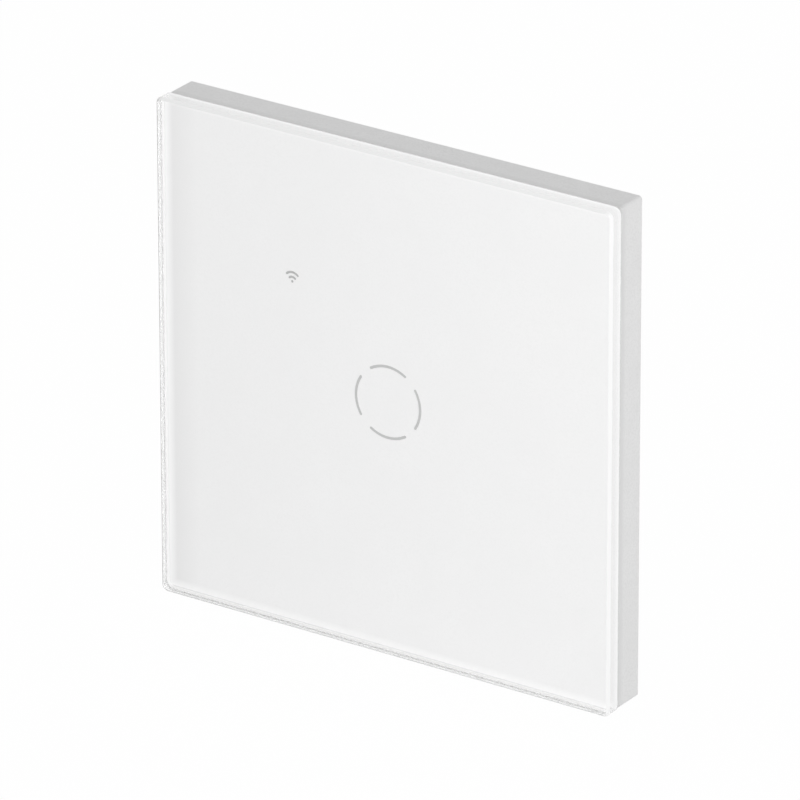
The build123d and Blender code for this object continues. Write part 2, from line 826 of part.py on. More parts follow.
# Rear housing
with BuildPart() as rear_housing:
    with BuildSketch(wall_plane(housing_seat_depth)):
        cut_corner_outline(housing_side, housing_corner)
    extrude(amount=-housing_seat_depth - housing_depth)
    # Step beside the terminals
    with BuildSketch(wall_plane(-step_depth)):
        with Locations((0, step_z - housing_side / 2)):
            Rectangle(housing_side, housing_side)
    extrude(amount=-housing_depth, mode=Mode.SUBTRACT)
    fillet(faces().sort_by(Axis.Y)[-1].edges(), housing_fillet)
    # Room for the terminal block, and deeper room for the other parts
    with BuildSketch(wall_plane(housing_seat_depth)):
        cut_corner_outline(housing_inner_side, housing_inner_corner)
    extrude(amount=housing_wall - step_depth - housing_seat_depth, mode=Mode.SUBTRACT)
    with BuildSketch(wall_plane(housing_seat_depth)):
        cut_corner_outline(housing_inner_side, housing_inner_corner)
        with Locations((0, step_z + housing_wall - housing_side / 2)):
            Rectangle(housing_side, housing_side, mode=Mode.SUBTRACT)
    extrude(amount=housing_wall - housing_depth - housing_seat_depth, mode=Mode.SUBTRACT)
    # Bosses for the housing screws
    with BuildSketch(wall_plane(housing_seat_depth)):
        with Locations(*corner_places):
            Circle(boss_radius)
    extrude(amount=-boss_length)
    with BuildSketch(wall_plane(housing_seat_depth)):
        with Locations(*corner_places):
            Circle(housing_screw_radius + pilot_clearance)
    extrude(amount=-housing_screw_length, mode=Mode.SUBTRACT)
    # Posts and ledges under the power board
    with BuildSketch(board_plane(0)):
        with Locations(*post_places):
            Circle(post_radius)
    extrude(amount=component_side + housing_wall / 2 - housing_depth)
    with BuildSketch(board_plane(0)):
        with Locations(*post_places):
            Circle(board_screw_radius + pilot_clearance)
    extrude(amount=-power_screw_length, mode=Mode.SUBTRACT)
    with BuildSketch(board_plane(0)):
        with Locations(
            (-ledge_x, (housing_inner_side - ledge_reach) / 2),
            (ledge_x, (housing_inner_side - ledge_reach) / 2),
        ):
            Rectangle(ledge_width, ledge_reach)
    extrude(amount=-ledge_height)
    # Holes for a screwdriver, windows for the wires, and vents
    with BuildSketch(wall_plane(-step_depth)):
        with Locations(*[(pole_x, cage_z) for pole_x in pole_places]):
            Circle(driver_hole_radius)
    extrude(amount=housing_wall, mode=Mode.SUBTRACT)
    with BuildSketch(level_plane(-housing_side / 2)):
        with Locations(*[(pole_x, wire_level) for pole_x in pole_places]):
            Rectangle(wire_window_side, wire_window_side)
    extrude(amount=housing_wall, mode=Mode.SUBTRACT)
    with BuildSketch(wall_plane(-housing_depth)):
        with Locations((0, vent_z)):
            with GridLocations(vent_pitch, vent_pitch, vent_count, 1):
                SlotOverall(vent_length, vent_width, rotation=90)
    extrude(amount=housing_wall, mode=Mode.SUBTRACT)
finish(rear_housing, "rear_housing")

with BuildPart() as housing_screws:
    plain_screws(
        corner_places,
        screw_seat,
        housing_screw_head_radius,
        housing_screw_head_height,
        housing_screw_radius,
        housing_screw_length,
    )
    cross_recess(corner_places, screw_seat + housing_screw_head_height, cross_depth)
finish(housing_screws, "housing_screws")

# Power board
with BuildPart() as power_board:
    with BuildSketch(board_plane(0)):
        cut_corner_outline(power_board_side, power_board_corner)
        with Locations(*corner_places):
            Circle(boss_radius + power_board_clearance, mode=Mode.SUBTRACT)
        with Locations(*post_places):
            Circle(board_screw_radius + screw_hole_clearance, mode=Mode.SUBTRACT)
        with Locations((0, header_z)):
            with GridLocations(pin_pitch, pin_pitch, pin_count, 1):
                Circle(pin_hole_radius, mode=Mode.SUBTRACT)
        relay_pin_hole = relay_pin_side + 2 * pin_hole_clearance
        with Locations(*relay_pin_places, (blade_pin_x, relay_z)):
            Rectangle(relay_pin_hole, relay_pin_hole, mode=Mode.SUBTRACT)
        with Locations(*[(pole_x, bar_pin_z) for pole_x in pole_places]):
            Rectangle(
                bar_pin_width + 2 * pin_hole_clearance,
                bar_thickness + 2 * pin_hole_clearance,
                mode=Mode.SUBTRACT,
            )
    extrude(amount=power_board_thickness)
finish(power_board, "power_board")

with BuildPart() as power_board_screws:
    plain_screws(
        post_places,
        -power_board_front,
        board_screw_head_radius,
        board_screw_head_height,
        board_screw_radius,
        power_screw_length,
    )
    cross_recess(post_places, board_screw_head_height - power_board_front, board_cross_depth)
finish(power_board_screws, "power_board_screws")

# Terminal block, with a chamber for each cage and a pocket for each screw head
with BuildPart() as terminal_block:
    with BuildSketch(board_plane(0)):
        with Locations((0, (block_bottom_z + block_top_z) / 2)):
            Rectangle(block_width, block_top_z - block_bottom_z)
    extrude(amount=-block_height)
    with BuildSketch(board_plane(0)):
        with Locations(*[(pole_x, (cavity_bottom_z + cavity_top_z) / 2) for pole_x in pole_places]):
            Rectangle(cavity_width, cavity_top_z - cavity_bottom_z)
    extrude(amount=-shelf_bottom, mode=Mode.SUBTRACT)
    with BuildSketch(board_plane(0)):
        with Locations(*[(pole_x, cage_z) for pole_x in pole_places]):
            Circle(terminal_screw_radius + screw_hole_clearance)
    extrude(amount=-shelf_top, mode=Mode.SUBTRACT)
    with BuildSketch(board_plane(shelf_top)):
        with Locations(*[(pole_x, cage_z) for pole_x in pole_places]):
            Circle(terminal_screw_head_radius + head_clearance)
    extrude(amount=shelf_top - screw_head_top - head_clearance, mode=Mode.SUBTRACT)
    with BuildSketch(board_plane(shelf_top)):
        with Locations(*[(pole_x, cage_z) for pole_x in pole_places]):
            Circle(driver_hole_radius)
    extrude(amount=shelf_top - block_height, mode=Mode.SUBTRACT)
    with BuildSketch(level_plane(block_bottom_z)):
        with Locations(*[(pole_x, wire_level) for pole_x in pole_places]):
            Rectangle(block_window_side, block_window_side)
    extrude(amount=block_wall, mode=Mode.SUBTRACT)
finish(terminal_block, "terminal_block")

# Contact bars, each with a pin through the board
with BuildPart() as terminal_bars:
    for pole_x in pole_places:
        bar_front_z = cage_z - cage_length / 2
        bar_back_z = bar_pin_z + bar_thickness / 2
        with BuildSketch(upright_plane(pole_x)):
            with Locations(((bar_bottom + bar_top) / 2, (bar_front_z + bar_back_z) / 2)):
                Rectangle(bar_thickness, bar_back_z - bar_front_z)
            with Locations(((bar_pin_rise + bar_top) / 2, bar_pin_z)):
                Rectangle(bar_top - bar_pin_rise, bar_thickness)
        extrude(amount=bar_width / 2, both=True)
        with BuildSketch(upright_plane(pole_x)):
            with Locations(((bar_pin_rise - bar_pin_length) / 2, bar_pin_z)):
                Rectangle(bar_pin_rise + bar_pin_length, bar_thickness)
        extrude(amount=bar_pin_width / 2, both=True)
finish(terminal_bars, "terminal_bars")

# Screws and rising cages, one of each at every pole
for pole_x, pole_name in zip(pole_places, pole_names):
    with BuildPart() as terminal_screw:
        with BuildSketch(board_plane(bar_top + screw_tip_clearance)):
            with Locations((pole_x, cage_z)):
                Circle(terminal_screw_radius)
        extrude(amount=bar_top + screw_tip_clearance - screw_head_bottom)
        with BuildSketch(board_plane(screw_head_bottom)):
            with Locations((pole_x, cage_z)):
                Circle(terminal_screw_head_radius)
        extrude(amount=-terminal_screw_head_height)
        with BuildSketch(board_plane(screw_head_top)):
            with Locations((pole_x, cage_z)):
                Rectangle(2 * terminal_screw_head_radius, terminal_screw_slot_width)
        extrude(amount=terminal_screw_slot_depth, mode=Mode.SUBTRACT)
    finish(terminal_screw, f"terminal_screw_{pole_name}")

    with BuildPart() as terminal_cage:
        with BuildSketch(level_plane(cage_z)):
            with Locations((pole_x, (cage_bottom + cage_top) / 2)):
                Rectangle(cage_width, cage_top - cage_bottom)
            with Locations((pole_x, (cage_inner_bottom + cage_inner_top) / 2)):
                Rectangle(
                    cage_width - 2 * cage_side_wall,
                    cage_inner_top - cage_inner_bottom,
                    mode=Mode.SUBTRACT,
                )
        extrude(amount=cage_length / 2, both=True)
        with BuildSketch(board_plane(cage_inner_top)):
            with Locations((pole_x, cage_z)):
                Circle(terminal_screw_radius + thread_clearance)
        extrude(amount=-cage_roof, mode=Mode.SUBTRACT)
    finish(terminal_cage, f"terminal_cage_{pole_name}")

# Relay case and base
with BuildPart() as relay_case:
    with BuildSketch(board_plane(0)):
        with Locations((relay_x, relay_z)):
            Rectangle(relay_length, relay_width)
    extrude(amount=-relay_height)
    fillet(faces().sort_by(Axis.Y)[-1].edges(), relay_fillet)
    with BuildSketch(board_plane(0)):
        with Locations((relay_x, relay_z)):
            Rectangle(relay_length - 2 * relay_wall, relay_width - 2 * relay_wall)
    extrude(amount=relay_wall - relay_height, mode=Mode.SUBTRACT)
finish(relay_case, "relay_case")

relay_base_length = relay_length - 2 * (relay_wall + relay_fit)
relay_base_width = relay_width - 2 * (relay_wall + relay_fit)
with BuildPart() as relay_base:
    with BuildSketch(board_plane(0)):
        with Locations((relay_x, relay_z)):
            Rectangle(relay_base_length, relay_base_width)
        with Locations(*relay_pin_places, (blade_pin_x, relay_z)):
            Rectangle(relay_pin_side, relay_pin_side, mode=Mode.SUBTRACT)
    extrude(amount=-relay_base_thickness)
finish(relay_base, "relay_base")

with BuildPart() as relay_pins:
    with BuildSketch(board_plane(relay_base_thickness)):
        with Locations(*relay_pin_places):
            Rectangle(relay_pin_side, relay_pin_side)
    extrude(amount=relay_base_thickness + relay_pin_length)
finish(relay_pins, "relay_pins")

# Relay magnet: yoke, core with its pole face, bobbin and winding
with BuildPart() as relay_yoke:
    yoke_top = armature_bottom - yoke_top_clearance
    with BuildSketch(level_plane(relay_z)):
        with Locations(((yoke_left + yoke_right) / 2, yoke_bottom + yoke_thickness / 2)):
            Rectangle(yoke_right - yoke_left, yoke_thickness)
        with Locations((yoke_left + yoke_thickness / 2, (yoke_bottom + yoke_top) / 2)):
            Rectangle(yoke_thickness, yoke_top - yoke_bottom)
    extrude(amount=yoke_width / 2, both=True)
finish(relay_yoke, "relay_yoke")

with BuildPart() as relay_core:
    with BuildSketch(board_plane(bobbin_bottom)):
        with Locations((coil_x, relay_z)):
            Circle(core_radius)
    extrude(amount=bobbin_bottom - pole_top)
    with BuildSketch(board_plane(pole_bottom)):
        with Locations((coil_x, relay_z)):
            Circle(pole_radius)
    extrude(amount=-pole_thickness)
finish(relay_core, "relay_core")

with BuildPart() as relay_bobbin:
    with BuildSketch(board_plane(bobbin_bottom)):
        with Locations((coil_x, relay_z)):
            Circle(bobbin_tube_radius)
    extrude(amount=-bobbin_height)
    flange_levels = (bobbin_bottom, bobbin_bottom + bobbin_height - bobbin_flange)
    for level in flange_levels:
        with BuildSketch(board_plane(level)):
            with Locations((coil_x, relay_z)):
                Circle(bobbin_radius)
        extrude(amount=-bobbin_flange)
    with BuildSketch(board_plane(bobbin_bottom)):
        with Locations((coil_x, relay_z)):
            Circle(core_radius + core_clearance)
    extrude(amount=-bobbin_height, mode=Mode.SUBTRACT)
finish(relay_bobbin, "relay_bobbin")

with BuildPart() as relay_winding:
    with BuildSketch(board_plane(bobbin_bottom + bobbin_flange + coil_clearance)):
        with Locations((coil_x, relay_z)):
            Circle(coil_radius)
            Circle(bobbin_tube_radius + coil_clearance, mode=Mode.SUBTRACT)
    extrude(amount=2 * (bobbin_flange + coil_clearance) - bobbin_height)
finish(relay_winding, "relay_winding")

# Armature over the pole face, with the leaf spring and contact that it moves
with BuildPart() as relay_armature:
    with BuildSketch(level_plane(relay_z)):
        with Locations((yoke_left + armature_length / 2, (armature_bottom + armature_top) / 2)):
            Rectangle(armature_length, armature_thickness)
    extrude(amount=armature_width / 2, both=True)
finish(relay_armature, "relay_armature")

leaf_right = contact_x + leaf_overhang
with BuildPart() as relay_leaf_spring:
    with BuildSketch(level_plane(relay_z)):
        with Locations(((pivot_x + leaf_right) / 2, armature_top + leaf_thickness / 2)):
            Rectangle(leaf_right - pivot_x, leaf_thickness)
    extrude(amount=leaf_width / 2, both=True)
finish(relay_leaf_spring, "relay_leaf_spring")

with BuildPart() as relay_moving_contact:
    with BuildSketch(board_plane(contact_bottom)):
        with Locations((contact_x, relay_z)):
            Circle(contact_radius)
    extrude(amount=-contact_height)
finish(relay_moving_contact, "relay_moving_contact")

# Fixed contact on its blade, whose pin goes through the base and the board
with BuildPart() as relay_fixed_contact:
    with BuildSketch(board_plane(blade_top)):
        with Locations((contact_x, relay_z)):
            Circle(contact_radius)
    extrude(amount=-fixed_contact_height)
    blade_left = contact_x - contact_radius
    with BuildSketch(level_plane(relay_z)):
        with Locations(((blade_left + blade_right) / 2, blade_top - blade_thickness / 2)):
            Rectangle(blade_right - blade_left, blade_thickness)
        with Locations((blade_pin_x, (relay_base_thickness + blade_top) / 2)):
            Rectangle(blade_thickness, blade_top - relay_base_thickness)
    extrude(amount=blade_width / 2, both=True)
    with BuildSketch(board_plane(relay_base_thickness)):
        with Locations((blade_pin_x, relay_z)):
            Rectangle(blade_thickness, relay_pin_side)
    extrude(amount=relay_base_thickness + relay_pin_length)
finish(relay_fixed_contact, "relay_fixed_contact")

# Transformer core: two outer legs and a centre leg between two yokes
ferrite_bottom = transformer_lift
ferrite_top = ferrite_bottom + transformer_height
window_height = transformer_height - 2 * ferrite_yoke
window_width = (transformer_length - ferrite_centre_leg) / 2 - ferrite_leg
with BuildPart() as transformer_core:
    with BuildSketch(level_plane(transformer_z)):
        with Locations((transformer_x, (ferrite_bottom + ferrite_top) / 2)):
            Rectangle(transformer_length, transformer_height)
            with GridLocations(ferrite_centre_leg + window_width, window_height, 2, 1):
                Rectangle(window_width, window_height, mode=Mode.SUBTRACT)
    extrude(amount=ferrite_width / 2, both=True)
finish(transformer_core, "transformer_core")

# Transformer bobbin: a square tube on the centre leg, two plates, and feet on the board
plate_length = transformer_length - 2 * (ferrite_leg + bobbin_fit)
tube_inner_length = ferrite_centre_leg + 2 * bobbin_fit
tube_inner_width = ferrite_width + 2 * bobbin_fit
tube_length = tube_inner_length + 2 * bobbin_tube_wall
tube_width = tube_inner_width + 2 * bobbin_tube_wall
lower_plate = ferrite_bottom + ferrite_yoke + bobbin_fit
upper_plate = ferrite_top - ferrite_yoke - bobbin_fit - bobbin_plate
foot_width = (bobbin_depth - tube_inner_width) / 2
with BuildPart() as transformer_bobbin:
    with BuildSketch(board_plane(lower_plate)):
        with Locations((transformer_x, transformer_z)):
            Rectangle(tube_length, tube_width)
    extrude(amount=lower_plate - upper_plate)
    for level in (lower_plate, upper_plate):
        with BuildSketch(board_plane(level)):
            with Locations((transformer_x, transformer_z)):
                Rectangle(plate_length, bobbin_depth)
        extrude(amount=-bobbin_plate)
    with BuildSketch(board_plane(0)):
        with Locations((transformer_x, transformer_z)):
            with GridLocations(plate_length, bobbin_depth - foot_width, 1, 2):
                Rectangle(plate_length, foot_width)
    extrude(amount=-lower_plate)
    with BuildSketch(board_plane(lower_plate)):
        with Locations((transformer_x, transformer_z)):
            Rectangle(tube_inner_length, tube_inner_width)
    extrude(amount=lower_plate - upper_plate - bobbin_plate, mode=Mode.SUBTRACT)
finish(transformer_bobbin, "transformer_bobbin")

with BuildPart() as transformer_winding:
    with BuildSketch(board_plane(lower_plate + bobbin_plate)):
        with Locations((transformer_x, transformer_z)):
            RectangleRounded(
                plate_length - 2 * winding_inset,
                bobbin_depth - 2 * winding_inset,
                winding_corner_radius,
            )
            Rectangle(tube_length, tube_width, mode=Mode.SUBTRACT)
    extrude(amount=lower_plate + bobbin_plate - upper_plate)
finish(transformer_winding, "transformer_winding")


def can_capacitor(place, radius, height):
    """A round can standing on the board, with the groove near its foot."""
    with BuildSketch(board_plane(0)) as can:
        with Locations(place):
            Circle(radius)
    extrude(can.sketch, amount=-height)
    fillet(edges().filter_by(GeomType.CIRCLE), capacitor_fillet)
    with BuildSketch(board_plane(capacitor_groove_place)) as groove:
        with Locations(place):
            Circle(radius + overrun)
            Circle(radius - capacitor_groove, mode=Mode.SUBTRACT)
    extrude(groove.sketch, amount=-capacitor_groove, mode=Mode.SUBTRACT)


def moulded_block(place, length, width, height):
    """A moulded or cast box standing on the board, with rounded edges above its foot."""
    with BuildSketch(board_plane(0)) as foot:
        with Locations(place):
            Rectangle(length, width)
    extrude(foot.sketch, amount=-height)
    fillet(faces().sort_by(Axis.Y)[-1].edges() + edges().filter_by(Axis.Y), body_fillet)


# Capacitors, fuse, varistor, rectifier and converter chip on the power board
with BuildPart() as input_capacitor:
    can_capacitor(
        (input_capacitor_x, input_capacitor_z), input_capacitor_radius, input_capacitor_height
    )
finish(input_capacitor, "input_capacitor")

with BuildPart() as output_capacitor:
    can_capacitor(
        (output_capacitor_x, output_capacitor_z), output_capacitor_radius, output_capacitor_height
    )
finish(output_capacitor, "output_capacitor")

with BuildPart() as film_capacitor:
    moulded_block(
        (film_capacitor_x, film_capacitor_z),
        film_capacitor_length,
        film_capacitor_width,
        film_capacitor_height,
    )
finish(film_capacitor, "film_capacitor")

with BuildPart() as fuse:
    moulded_block((fuse_x, fuse_z), fuse_length, fuse_width, fuse_height)
finish(fuse, "fuse")

varistor_centre = varistor_rise + varistor_radius
with BuildPart() as varistor:
    with BuildSketch(level_plane(varistor_z)):
        with Locations((varistor_x, varistor_centre)):
            Circle(varistor_radius)
    extrude(amount=varistor_thickness / 2, both=True)
    fillet(edges().filter_by(GeomType.CIRCLE), varistor_fillet)
    with BuildSketch(board_plane(varistor_centre)):
        with Locations((varistor_x, varistor_z)):
            with GridLocations(varistor_lead_spacing, varistor_lead_spacing, 2, 1):
                Circle(varistor_lead_radius)
    extrude(amount=varistor_centre)
finish(varistor, "varistor")

with BuildPart() as bridge_rectifier:
    chip_with_legs(board_plane(0), (rectifier_x, rectifier_z))
finish(bridge_rectifier, "bridge_rectifier")

with BuildPart() as converter_chip:
    chip_with_legs(board_plane(0), (power_chip_x, power_chip_z))
finish(converter_chip, "converter_chip")
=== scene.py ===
import json
from math import cos, pi, radians, sin

import bpy
from mathutils import Matrix, Vector


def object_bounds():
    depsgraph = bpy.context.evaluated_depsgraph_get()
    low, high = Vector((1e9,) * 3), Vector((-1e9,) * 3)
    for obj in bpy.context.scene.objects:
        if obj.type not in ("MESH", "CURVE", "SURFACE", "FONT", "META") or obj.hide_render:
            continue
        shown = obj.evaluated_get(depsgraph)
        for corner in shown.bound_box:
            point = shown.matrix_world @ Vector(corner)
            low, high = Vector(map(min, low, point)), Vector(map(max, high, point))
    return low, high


# Looks of the touch light switch, in metres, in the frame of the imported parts:
# X to the right seen from the front, Y into the wall, Z up.

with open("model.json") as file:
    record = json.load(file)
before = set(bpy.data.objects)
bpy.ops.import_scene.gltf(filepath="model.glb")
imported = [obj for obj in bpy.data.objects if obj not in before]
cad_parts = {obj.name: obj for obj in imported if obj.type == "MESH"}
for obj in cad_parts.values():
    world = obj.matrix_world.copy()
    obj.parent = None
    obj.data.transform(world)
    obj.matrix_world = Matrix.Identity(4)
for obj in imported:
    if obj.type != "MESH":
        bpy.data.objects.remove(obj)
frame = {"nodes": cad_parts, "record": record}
cad_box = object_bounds()
nodes = frame["nodes"]

mm = 0.001

# How much a normal of the glass points along Y: more than the first on its front and back,
# less than the second on its sides, and between them on its slanted borders
flat_share = 0.95
side_share = 0.2

# The marks and borders in the photo lie as deep as through this index, weaker than common glass
glass_index = 1.29

# How far from the edge the white print's painted glow starts, and where that glow is full
painted_glow_start = 1.9 * mm
painted_glow_full = 0.6 * mm

# How far from the edge the painted shade of the print's outermost line starts, and where it is deepest
painted_edge_shade_start = 0.58 * mm
painted_edge_shade_full = 0.4 * mm

# How far from the left end of the part the painted shade on the print is full, and where that shade
# ends
painted_shade_full = 2.2 * mm
painted_shade_end = 6.5 * mm

# How far from the lower end of the part the painted shade of the outermost line is deeper still, and
# where that ends
low_painted_shade_full = 0.35 * mm
low_painted_shade_end = 0.65 * mm

# How far in front of the wall the rim's painted shade starts and where it is full,
# and where the painted shadow of the seam is full
seam_painted_shade_start = 4.3 * mm
seam_painted_shade_full = 5.5 * mm
seam_painted_shadow_full = 5.7 * mm

# Levels of the rim: its plastic, its speckles, and its painted shade and painted seam shadow towards
# the seam
rim_level = 0.8
rim_speckle_level = 0.75
rim_painted_shade_level = 0.7
seam_painted_shadow_level = 0.5

# Levels of the white print: its field, its painted left shade, its painted glow and the painted shade
# of the lines along its border
print_level = 0.86
print_painted_shade_level = 0.8
print_painted_glow_level = 0.95
print_painted_edge_shade_level = 0.85
print_low_painted_shade_level = 0.74

# Levels of the ring mark, of the signal mark, and of the glass's sides and ground borders,
# the last also with painted shade where the borders are seen at a grazing angle
ring_level = 0.525
signal_level = 0.45
side_level = 0.93
ground_level = 0.841
ground_grazing_painted_shade_level = 0.78

# How far the print and the marks sit in the glass, so that no air shows between them
ink_seat = 0.008 * mm

# What light keeps on its way through the skin of the glass, and the index of clear acrylic
glass_pass = 0.989
acrylic_index = 1.49

# Between these levels lie nearly all values of a noise texture
noise_low = 0.3
noise_high = 0.7

# The wave texture turns by this many radians over one unit of length
wave_turn = 20.0

# Places of the Mix node's sockets for two colours and their blend, and for two numbers
mix_colours = (6, 7)
mix_colour_out = 2
mix_numbers = (2, 3)

# View of the photo: angles in degrees, the camera's place along its own three axes,
# its sensor and lens in millimetres, and how near and far it sees in metres
view_azimuth = 34.1146
view_elevation = 23.7887
view_roll = 0.0969
view_distance = 1606.09 * mm
view_right = -2.0411 * mm
view_up = -1.9699 * mm
sensor_width = 36.0
lens_length = 457.28
clip_start = 0.1
clip_end = 100.0

# Soft light from all round, strongest from the front, right and above
ambient_level = 0.61
ambient_lean = (0.045, -0.12, 0.06)

# One lamp: its angles in degrees, its distance and side in metres, and its level on a white face
key_azimuth = 38.0
key_elevation = 12.0
key_distance = 0.75
key_size = 0.4
key_level = 0.44

# The floor: its gap under the switch, its side in metres, its level,
# and how much of what the camera sees of it is plain white glow
floor_gap = 0.2 * mm
floor_size = 12.0
floor_level = 0.85
floor_glow_share = 0.985


def grey(level):
    """A neutral colour of this level."""
    return (level, level, level)


class Finish:
    """A node material round one Principled shader, with patterns in the object's own metres."""

    def __init__(self, name, colour, roughness, metallic=0.0):
        self.material = bpy.data.materials.new(name)
        self.material.use_nodes = True
        self.material.diffuse_color = (*colour, 1.0)
        self.tree = self.material.node_tree
        self.shader = self.tree.nodes["Principled BSDF"]
        self.colour = colour
        self.shader.inputs["Base Color"].default_value = (*colour, 1.0)
        self.shader.inputs["Roughness"].default_value = roughness
        self.shader.inputs["Metallic"].default_value = metallic
        self.place = self.add("ShaderNodeTexCoord").outputs["Object"]

    def add(self, kind, **settings):
        """A new node of this kind, with these settings."""
        made = self.tree.nodes.new(kind)
        for key, value in settings.items():
            setattr(made, key, value)
        return made

    def feed(self, target, value):
        """Links an output to this input, or sets the input to a plain value."""
        if isinstance(value, bpy.types.NodeSocket):
            self.tree.links.new(value, target)
        else:
            target.default_value = value

    def math(self, operation, *values):
        """A number worked out from one to three others."""
        made = self.add("ShaderNodeMath", operation=operation)
        for target, value in zip(made.inputs, values):
            self.feed(target, value)
        return made.outputs[0]

    def stretched(self, stretch, turn=(0.0, 0.0, 0.0)):
        """The object's coordinates, scaled along each axis and turned."""
        made = self.add("ShaderNodeMapping")
        self.feed(made.inputs["Vector"], self.place)
        made.inputs["Scale"].default_value = stretch
        made.inputs["Rotation"].default_value = turn
        return made.outputs[0]

    def noise(self, size, detail=2.0, roughness=0.5, place=None):
        """Cloudy grey, with blots about this size in metres."""
        made = self.add("ShaderNodeTexNoise")
        self.feed(made.inputs["Vector"], place or self.place)
        made.inputs["Scale"].default_value = 1.0 / size
        made.inputs["Detail"].default_value = detail
        made.inputs["Roughness"].default_value = roughness
        return made.outputs["Fac"]

    def cells(self, size):
        """Distance to the nearest of many scattered points about this far apart."""
        made = self.add("ShaderNodeTexVoronoi")
        self.feed(made.inputs["Vector"], self.place)
        made.inputs["Scale"].default_value = 1.0 / size
        return made.outputs["Distance"]

    def bands(self, pitch, direction):
        """Waves across one axis, each this wide in metres."""
        made = self.add("ShaderNodeTexWave", wave_type="BANDS", bands_direction=direction)
        self.feed(made.inputs["Vector"], self.place)
        made.inputs["Scale"].default_value = 2 * pi / wave_turn / pitch
        return made.outputs["Fac"]

    def flatness(self):
        """0 where the surface is seen straight on and 1 where it is seen along."""
        return self.add("ShaderNodeLayerWeight").outputs["Facing"]

    def spread(self, value, low, high, from_low=0.0, from_high=1.0):
        """Maps a number from one range to another, held at its ends."""
        made = self.add("ShaderNodeMapRange")
        for target, number in zip(made.inputs, (value, from_low, from_high, low, high)):
            self.feed(target, number)
        return made.outputs[0]

    def above(self, value, start, full):
        """0 up to start, and from there it grows to 1 at full."""
        return self.spread(value, 0.0, 1.0, start, full)

    def below(self, value, full, end):
        """1 up to full, and from there it falls to 0 at end."""
        return self.spread(value, 1.0, 0.0, full, end)

    def blend(self, share, first, second):
        """One colour turning into another as share goes from 0 to 1."""
        made = self.add("ShaderNodeMix", data_type="RGBA")
        self.feed(made.inputs["Factor"], share)
        for place, colour in zip(mix_colours, (first, second)):
            linked = isinstance(colour, bpy.types.NodeSocket)
            self.feed(made.inputs[place], colour if linked else (*colour, 1.0))
        return made.outputs[mix_colour_out]

    def tint(self, share, other):
        """Lets the base colour turn into another colour by share."""
        base = self.shader.inputs["Base Color"]
        current = base.links[0].from_socket if base.is_linked else self.colour
        self.feed(base, self.blend(share, current, other))

    def mottle(self, size, change):
        """Darkens and lightens the base colour a little in blots of this size."""
        dark = tuple(max(0.0, part * (1.0 - change)) for part in self.colour)
        self.tint(self.above(self.noise(size, detail=3.0), noise_low, noise_high), dark)

    def relief(self, height, depth, strength=1.0):
        """Adds bumps of this depth in metres to the surface."""
        made = self.add("ShaderNodeBump")
        made.inputs["Strength"].default_value = strength
        made.inputs["Distance"].default_value = depth
        self.feed(made.inputs["Height"], height)
        normal = self.shader.inputs["Normal"]
        if normal.is_linked:
            self.feed(made.inputs["Normal"], normal.links[0].from_socket)
        self.feed(normal, made.outputs[0])

    def worn(self, low, high, size):
        """Roughness that wanders between two values in blots of this size."""
        wander = self.spread(self.noise(size), low, high, noise_low, noise_high)
        self.feed(self.shader.inputs["Roughness"], wander)


def moulded(name, colour, roughness, grain=0.12 * mm, depth=0.006 * mm, change=0.03):
    """Moulded plastic: a fine even grain, a little cloudiness, and small changes of gloss."""
    made = Finish(name, colour, roughness)
    made.mottle(size=6.0 * mm, change=change)
    made.relief(made.noise(size=grain, detail=3.0, roughness=0.6), depth)
    made.worn(low=roughness - 0.05, high=roughness + 0.05, size=2.0 * mm)
    return made


def white_plastic():
    """The matt white of the rim, speckled by its mould, with painted shade and seam shadow at its
    front edge.
    """
    made = moulded(
        "white_plastic", grey(rim_level), roughness=0.5, grain=0.16 * mm, depth=0.03 * mm
    )
    speckles = made.above(made.noise(size=0.3 * mm, detail=1.0), start=0.45, full=0.65)
    made.tint(speckles, grey(rim_speckle_level))
    along = made.add("ShaderNodeSeparateXYZ")
    made.feed(along.inputs[0], made.place)
    # Painted shade on the rim, growing darker towards the seam
    painted_shade = made.below(along.outputs["Y"], full=-seam_painted_shade_full, end=-seam_painted_shade_start)
    made.tint(painted_shade, grey(rim_painted_shade_level))
    # Painted shadow of the seam, darkest at the rim's front edge
    dark = made.below(along.outputs["Y"], full=-seam_painted_shadow_full, end=-seam_painted_shade_full)
    made.tint(dark, grey(seam_painted_shadow_level))
    return made


def metal(name, colour, roughness, stretch=(1.0, 1.0, 12.0)):
    """Stamped or turned metal: fine marks along one axis over a faint cloudiness."""
    made = Finish(name, colour, roughness, metallic=1.0)
    made.mottle(size=1.5 * mm, change=0.12)
    marks = made.noise(size=0.6 * mm, detail=4.0, place=made.stretched(stretch))
    made.relief(marks, depth=0.004 * mm)
    made.worn(low=roughness - 0.06, high=roughness + 0.1, size=0.8 * mm)
    return made


def glass(name, colour, transmission, roughness, wave_size, wave_depth):
    """Clear glass with slow waves. Light passes straight through to the ink behind it."""
    made = Finish(name, colour, roughness)
    made.shader.inputs["Transmission Weight"].default_value = transmission
    made.shader.inputs["IOR"].default_value = glass_index
    made.relief(made.noise(size=wave_size, detail=1.0), depth=wave_depth, strength=0.3)
    path = made.add("ShaderNodeLightPath")
    passing = made.math("MAXIMUM", path.outputs["Is Shadow Ray"], path.outputs["Is Diffuse Ray"])
    clear = made.add("ShaderNodeBsdfTransparent")
    clear.inputs["Color"].default_value = (*grey(glass_pass), 1.0)
    mix = made.add("ShaderNodeMixShader")
    made.feed(mix.inputs[0], passing)
    made.feed(mix.inputs[1], made.shader.outputs[0])
    made.feed(mix.inputs[2], clear.outputs[0])
    made.feed(made.tree.nodes["Material Output"].inputs["Surface"], mix.outputs[0])
    return made


def printed(name, colour):
    """Screen-printed ink: smooth and even, with the faintest grain."""
    made = Finish(name, colour, roughness=0.55)
    made.mottle(size=9.0 * mm, change=0.012)
    grain = made.above(made.noise(size=0.4 * mm), start=0.45, full=0.7)
    made.tint(grain, tuple(part * 0.98 for part in colour))
    made.relief(made.noise(size=0.1 * mm), depth=0.001 * mm)
    return made


